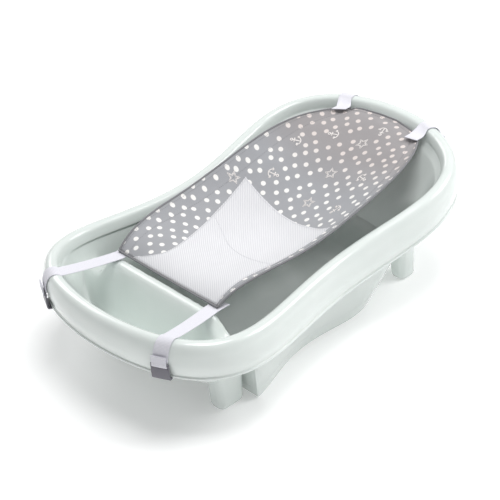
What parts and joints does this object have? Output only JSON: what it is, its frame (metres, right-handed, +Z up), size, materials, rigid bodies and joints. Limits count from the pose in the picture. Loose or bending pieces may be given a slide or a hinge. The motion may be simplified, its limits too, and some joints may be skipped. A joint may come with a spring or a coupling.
{
  "type": "baby bathtub",
  "caption": "Baby bath tub with rolled rim, hump and foot well, legs, drain plug and a fabric sling held by straps and hooks.",
  "frame": {"origin": "on the ground below the middle of the tub's outline", "axes": "+X to the head end, +Z up, tub symmetric about the XZ plane"},
  "size_m": [0.6961, 0.442, 0.2391],
  "materials": {
    "tub_plastic": "satin moulded plastic, white with a faint mint tint",
    "plug_rubber": "matte",
    "white_mesh": "ribbed mesh cloth",
    "grey_fabric": "woven cloth with an off-white dot print",
    "piping": "woven binding",
    "webbing": "elastic webbing",
    "hook_plastic": "matte"
  },
  "bodies": {
    "tub": {"tub_shell": "tub_plastic", "sling_seat_panel": "white_mesh", "sling_back_panel": "grey_fabric", "foot_piping": "piping", "head_piping": "piping", "sling_wing_left": "grey_fabric", "sling_wing_right": "grey_fabric", "side_piping_left": "piping", "side_piping_right": "piping", "foot_strap_left": "webbing", "foot_strap_right": "webbing", "head_strap_left": "webbing", "head_strap_right": "webbing"},
    "plug": {"drain_plug": "plug_rubber"},
    "foot_hook_left_set": {"foot_hook_left": "hook_plastic", "foot_strap_fold_left": "webbing"},
    "foot_hook_right_set": {"foot_hook_right": "hook_plastic", "foot_strap_fold_right": "webbing"},
    "head_hook_left_set": {"head_hook_left": "hook_plastic", "head_strap_fold_left": "webbing"},
    "head_hook_right_set": {"head_hook_right": "hook_plastic", "head_strap_fold_right": "webbing"}
  },
  "joints": [
    {"name": "plug_pull", "type": "slide", "parent": "tub", "child": "plug", "axis": [0, 0, 1], "range_m": [0, 0.03]},
    {"name": "foot_hook_left_release", "type": "slide", "parent": "tub", "child": "foot_hook_left_set", "axis": [0, 0, -1], "range_m": [0, 0.014], "stiffness_N_per_m": 400},
    {"name": "foot_hook_right_release", "type": "slide", "parent": "tub", "child": "foot_hook_right_set", "axis": [0, 0, -1], "range_m": [0, 0.014], "stiffness_N_per_m": 400},
    {"name": "head_hook_left_release", "type": "slide", "parent": "tub", "child": "head_hook_left_set", "axis": [0, 0, -1], "range_m": [0, 0.014], "stiffness_N_per_m": 400},
    {"name": "head_hook_right_release", "type": "slide", "parent": "tub", "child": "head_hook_right_set", "axis": [0, 0, -1], "range_m": [0, 0.014], "stiffness_N_per_m": 400}
  ]
}
